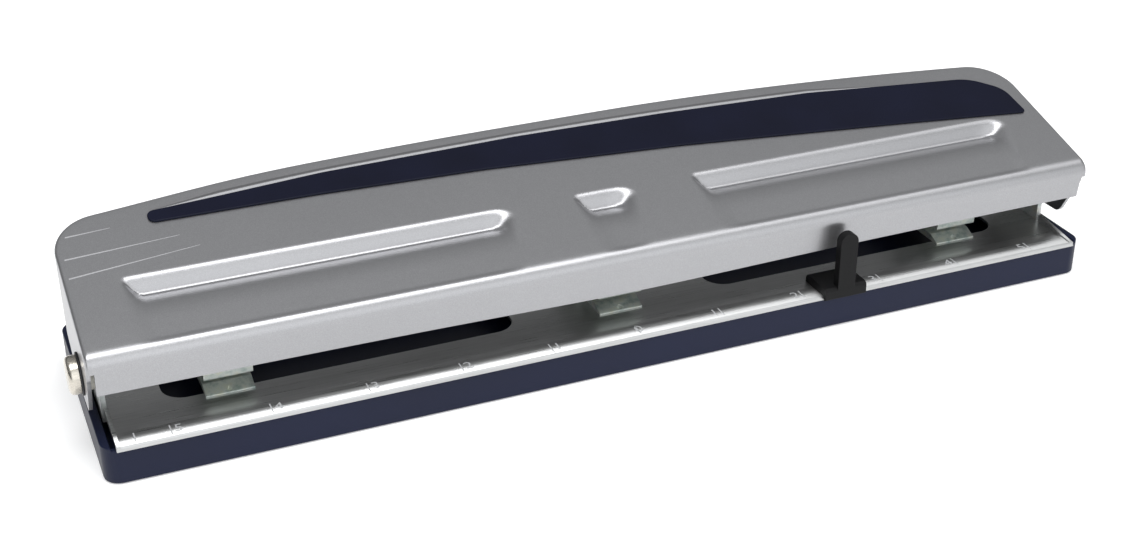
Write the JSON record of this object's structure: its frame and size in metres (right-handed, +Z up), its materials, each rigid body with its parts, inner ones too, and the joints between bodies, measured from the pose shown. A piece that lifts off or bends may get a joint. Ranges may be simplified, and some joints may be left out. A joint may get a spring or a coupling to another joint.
{
  "type": "hole punch",
  "caption": "Adjustable desktop paper punch: a long grey steel lever over sliding punching heads on a bright plate and a navy chip tray.",
  "frame": {"origin": "centre of the footprint at table level, midway along the tray and over its depth", "axes": "+X along the length towards the wide end of the grip, -Y towards the user who feeds paper in, +Z up"},
  "size_m": [0.2968, 0.07, 0.0509],
  "materials": {
    "tray": "matte navy plastic",
    "rubber": "matte",
    "plate": "satin nickel plate",
    "bracket": "zinc plated",
    "pivot": "nickel plated, turned",
    "dark_washer": "blackened",
    "nylon": "natural nylon",
    "lever_paint": "fine metallic silver-grey paint",
    "grip": "dark navy, satin",
    "steel": "plain steel",
    "guide": "black, semi-gloss",
    "zinc": "zinc die casting, plated",
    "hard_steel": "ground tool steel",
    "spring": "spring wire",
    "screw": "bright zinc"
  },
  "bodies": {
    "tray": {"chip_tray": "tray", "rubber_feet": "rubber"},
    "frame": {"base_plate": "plate", "pivot_bracket_left": "bracket", "pivot_bracket_right": "bracket", "bracket_rivets": "steel", "pivot_pin_left": "pivot", "pivot_pin_right": "pivot", "pivot_washers": "dark_washer", "pivot_spacers": "nylon", "pivot_clips": "steel", "die_plate_centre": "zinc", "paper_stop_centre": "steel", "guide_block_centre": "zinc", "head_rivets_centre": "screw", "punch_spring_centre": "spring", "centre_screws": "screw"},
    "lever": {"lever_shell": "lever_paint", "lever_grip": "grip", "press_bar": "steel"},
    "guide": {"paper_guide": "guide", "guide_spring": "spring"},
    "head_left": {"die_plate_left": "zinc", "paper_stop_left": "steel", "guide_block_left": "zinc", "head_rivets_left": "screw", "punch_spring_left": "spring", "lock_screw_left": "screw", "clamp_nut_left": "steel"},
    "head_right": {"die_plate_right": "zinc", "paper_stop_right": "steel", "guide_block_right": "zinc", "head_rivets_right": "screw", "punch_spring_right": "spring", "lock_screw_right": "screw", "clamp_nut_right": "steel"},
    "pin_left": {"punch_pin_left": "hard_steel", "pin_cap_left": "steel", "spring_washer_left": "steel"},
    "pin_centre": {"punch_pin_centre": "hard_steel", "pin_cap_centre": "steel", "spring_washer_centre": "steel"},
    "pin_right": {"punch_pin_right": "hard_steel", "pin_cap_right": "steel", "spring_washer_right": "steel"}
  },
  "joints": [
    {"name": "frame_lift_off", "type": "slide", "parent": "tray", "child": "frame", "axis": [0, 0, 1], "range_m": [0, 0.03]},
    {"name": "lever_press", "type": "hinge", "parent": "frame", "child": "lever", "pos_m": [0, -0.0143, 0.0222], "axis": [-1, 0, 0], "range_deg": [0, 16]},
    {"name": "head_left_adjust", "type": "slide", "parent": "frame", "child": "head_left", "axis": [1, 0, 0], "range_m": [-0.007, 0.07]},
    {"name": "head_right_adjust", "type": "slide", "parent": "frame", "child": "head_right", "axis": [1, 0, 0], "range_m": [-0.07, 0.007]},
    {"name": "guide_adjust", "type": "slide", "parent": "frame", "child": "guide", "axis": [1, 0, 0], "range_m": [-0.194, 0.068]},
    {"name": "pin_left_stroke", "type": "slide", "parent": "head_left", "child": "pin_left", "axis": [0, 0, -1], "range_m": [0, 0.00555], "stiffness_N_per_m": 800, "springref_m": -0.01, "deforming": ["punch_spring_left"]},
    {"name": "pin_centre_stroke", "type": "slide", "parent": "frame", "child": "pin_centre", "axis": [0, 0, -1], "range_m": [0, 0.00555], "stiffness_N_per_m": 800, "springref_m": -0.01, "deforming": ["punch_spring_centre"]},
    {"name": "pin_right_stroke", "type": "slide", "parent": "head_right", "child": "pin_right", "axis": [0, 0, -1], "range_m": [0, 0.00555], "stiffness_N_per_m": 800, "springref_m": -0.01, "deforming": ["punch_spring_right"]}
  ],
  "couplings": [
    {"joint": "pin_left_stroke", "follows": "lever_press", "m_per_rad": 0.0198},
    {"joint": "pin_centre_stroke", "follows": "lever_press", "m_per_rad": 0.0198},
    {"joint": "pin_right_stroke", "follows": "lever_press", "m_per_rad": 0.0198}
  ]
}
